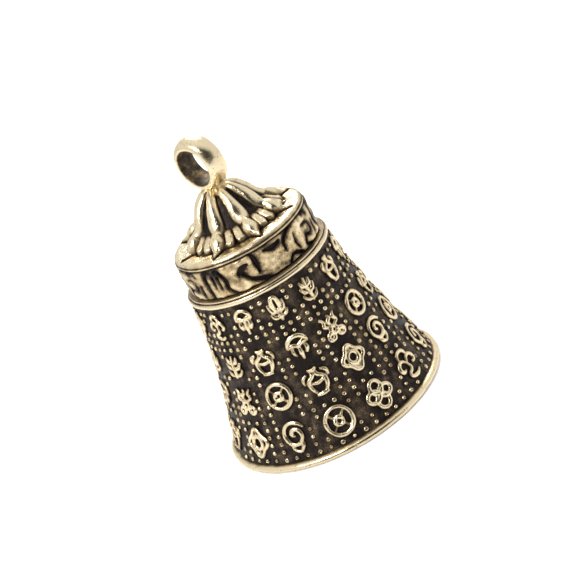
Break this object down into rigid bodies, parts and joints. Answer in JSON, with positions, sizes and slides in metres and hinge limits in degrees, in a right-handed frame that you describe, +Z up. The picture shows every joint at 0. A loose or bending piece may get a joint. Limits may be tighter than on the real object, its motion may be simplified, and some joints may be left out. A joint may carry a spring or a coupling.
{
  "type": "temple bell",
  "caption": "Small flared cast-brass bell with a lotus crown, a hanging ring and a loose clapper inside; its skirt carries columns of raised ornament over a studded ground.",
  "frame": {"origin": "middle of the mouth, on the surface that the bell stands on", "axes": "+Z up the bell's axis to the hanging ring, +X along the hanging ring's bore"},
  "size_m": [0.03, 0.03, 0.0405],
  "materials": {
    "rubbed_brass": "cast brass, aged dark and rubbed bright on its high spots",
    "dark_brass": "cast brass with a near-black patina",
    "clapper_brass": "drawn and turned brass, dulled by age"
  },
  "bodies": {
    "bell": {"bell_skirt": "dark_brass", "mouth_lip": "rubbed_brass", "neck_bead": "rubbed_brass", "frieze_band": "rubbed_brass", "frieze_scrolls": "rubbed_brass", "studs": "rubbed_brass", "crown_plate": "rubbed_brass", "lotus_core": "dark_brass", "hanging_ring": "rubbed_brass", "petal_1": "rubbed_brass", "petal_2": "rubbed_brass", "petal_3": "rubbed_brass", "petal_4": "rubbed_brass", "petal_5": "rubbed_brass", "petal_6": "rubbed_brass", "petal_7": "rubbed_brass", "petal_8": "rubbed_brass", "emblem_column_1": "rubbed_brass", "emblem_column_2": "rubbed_brass", "emblem_column_3": "rubbed_brass", "emblem_column_4": "rubbed_brass", "emblem_column_5": "rubbed_brass", "emblem_column_6": "rubbed_brass", "emblem_column_7": "rubbed_brass", "emblem_column_8": "rubbed_brass", "emblem_column_9": "rubbed_brass", "emblem_column_10": "rubbed_brass", "emblem_column_11": "rubbed_brass", "emblem_column_12": "rubbed_brass", "emblem_column_13": "rubbed_brass", "emblem_column_14": "rubbed_brass"},
    "hanger": {"hanger_pin": "clapper_brass", "hanger_head": "clapper_brass", "hanger_eye": "clapper_brass"},
    "clapper": {"clapper_eye": "clapper_brass", "clapper_stem": "clapper_brass", "clapper_ball": "clapper_brass", "clapper_rivet": "clapper_brass"}
  },
  "joints": [
    {"name": "hanger_turn", "type": "hinge", "parent": "bell", "child": "hanger", "pos_m": [0, 0, 0.0268], "axis": [0, 0, 1], "continuous": true},
    {"name": "clapper_swing", "type": "hinge", "parent": "hanger", "child": "clapper", "pos_m": [0, 0, 0.0216], "axis": [1, 0, 0], "range_deg": [-27, 27]}
  ]
}
